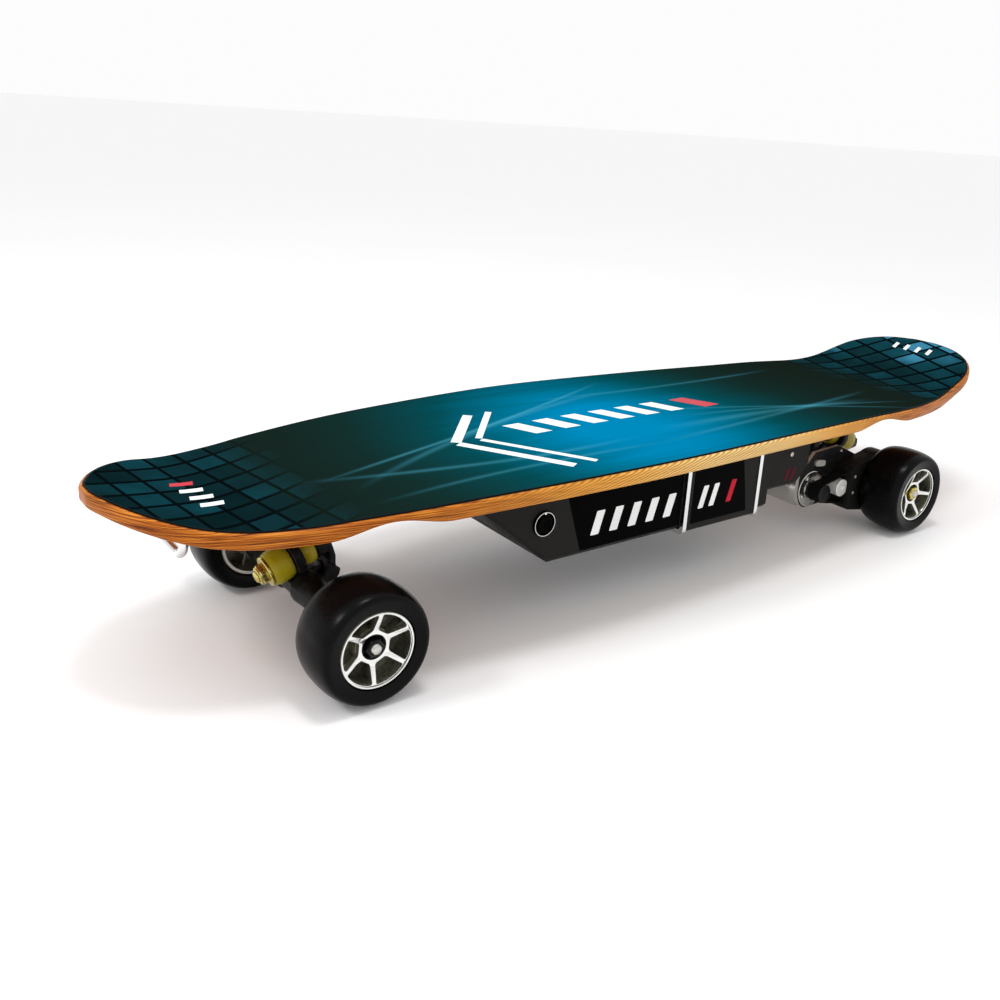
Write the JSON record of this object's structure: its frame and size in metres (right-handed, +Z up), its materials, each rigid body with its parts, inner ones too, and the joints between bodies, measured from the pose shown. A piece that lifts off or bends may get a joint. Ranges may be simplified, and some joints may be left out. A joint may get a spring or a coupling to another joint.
{
  "type": "electric skateboard",
  "caption": "Electric longboard with a printed plywood deck, lean-to-steer trucks, belt drive on one rear wheel and a battery box slung under the deck.",
  "frame": {"origin": "on the ground under the middle of the deck", "axes": "+X towards the nose, +Y to the left of the board (the driven wheel and power button side), +Z up"},
  "size_m": [0.992, 0.2652, 0.1721],
  "materials": {
    "maple": "satin",
    "print": "gloss",
    "black_paint": "satin",
    "black_plastic": "matte",
    "steel": "brushed",
    "chrome": "polished",
    "alloy": "machined",
    "urethane": "satin",
    "tyre": "gloss",
    "rubber": "matte",
    "zinc": "satin",
    "wrap": "satin",
    "indicator": "gloss"
  },
  "bodies": {
    "board": {"deck": "maple", "printed_sheet": "print", "front_bolt_1": "steel", "front_bolt_2": "steel", "front_bolt_3": "steel", "front_bolt_4": "steel", "rear_bolt_1": "steel", "rear_bolt_2": "steel", "rear_bolt_3": "steel", "rear_bolt_4": "steel", "front_baseplate": "black_paint", "front_kingpin": "steel", "front_kingpin_nut": "zinc", "front_bushing_upper": "urethane", "front_bushing_lower": "urethane", "front_riser": "rubber", "rear_baseplate": "black_paint", "rear_kingpin": "steel", "rear_kingpin_nut": "black_paint", "rear_bushing_upper": "urethane", "rear_bushing_lower": "urethane", "rear_riser": "rubber", "battery_box": "black_plastic", "box_strap": "black_plastic", "front_trim": "chrome", "rear_trim": "chrome", "controller_cover": "black_plastic", "battery_pack": "wrap", "motor_controller": "alloy", "button_ring": "chrome", "charge_socket": "black_plastic", "carry_handle": "chrome"},
    "front_truck": {"front_hanger": "black_paint", "front_axle": "steel", "front_left_axle_nut": "zinc", "front_right_axle_nut": "zinc"},
    "front_left_wheel": {"front_left_tyre": "tyre", "front_left_hub": "alloy", "front_left_bearing": "black_paint"},
    "front_right_wheel": {"front_right_tyre": "tyre", "front_right_hub": "alloy", "front_right_bearing": "black_paint"},
    "rear_truck": {"rear_hanger": "black_paint", "rear_axle": "steel", "rear_left_axle_nut": "zinc", "rear_right_axle_nut": "zinc", "motor": "steel", "motor_plate": "alloy", "drive_belt": "rubber", "belt_guard": "black_plastic"},
    "rear_left_wheel": {"rear_left_tyre": "tyre", "rear_left_hub": "alloy", "rear_left_bearing": "black_paint", "wheel_pulley": "black_paint"},
    "rear_right_wheel": {"rear_right_tyre": "tyre", "rear_right_hub": "alloy", "rear_right_bearing": "black_paint"},
    "drive_pinion": {"motor_pulley": "steel"},
    "button": {"power_button": "indicator"},
    "cap": {"charge_cap": "rubber"}
  },
  "joints": [
    {"name": "front_lean", "type": "hinge", "parent": "board", "child": "front_truck", "pos_m": [0.345, 0, 0.0665], "axis": [0.8384, 0, 0.545], "range_deg": [-10, 10], "stiffness_Nm_per_rad": 90, "deforming": ["front_bushing_upper", "front_bushing_lower"]},
    {"name": "rear_lean", "type": "hinge", "parent": "board", "child": "rear_truck", "pos_m": [-0.3337, 0, 0.072], "axis": [-0.8908, 0, 0.4545], "range_deg": [-10, 10], "stiffness_Nm_per_rad": 90, "deforming": ["rear_bushing_upper", "rear_bushing_lower"]},
    {"name": "front_left_spin", "type": "hinge", "parent": "front_truck", "child": "front_left_wheel", "pos_m": [0.341, 0.107, 0.045], "axis": [0, 1, 0], "continuous": true},
    {"name": "front_right_spin", "type": "hinge", "parent": "front_truck", "child": "front_right_wheel", "pos_m": [0.341, -0.107, 0.045], "axis": [0, 1, 0], "continuous": true},
    {"name": "rear_left_spin", "type": "hinge", "parent": "rear_truck", "child": "rear_left_wheel", "pos_m": [-0.3117, 0.107, 0.045], "axis": [0, 1, 0], "continuous": true},
    {"name": "rear_right_spin", "type": "hinge", "parent": "rear_truck", "child": "rear_right_wheel", "pos_m": [-0.3117, -0.107, 0.045], "axis": [0, 1, 0], "continuous": true},
    {"name": "pinion_spin", "type": "hinge", "parent": "rear_truck", "child": "drive_pinion", "pos_m": [-0.219, 0.07, 0.045], "axis": [0, 1, 0], "continuous": true},
    {"name": "power_press", "type": "slide", "parent": "board", "child": "button", "axis": [0, -1, 0], "range_m": [0, 0.0015], "stiffness_N_per_m": 600},
    {"name": "cap_swing", "type": "hinge", "parent": "board", "child": "cap", "pos_m": [0.136, -0.1013, 0.107], "axis": [-1, 0, 0], "range_deg": [0, 110]}
  ],
  "couplings": [
    {"joint": "pinion_spin", "follows": "rear_left_spin", "ratio": 3.25}
  ]
}
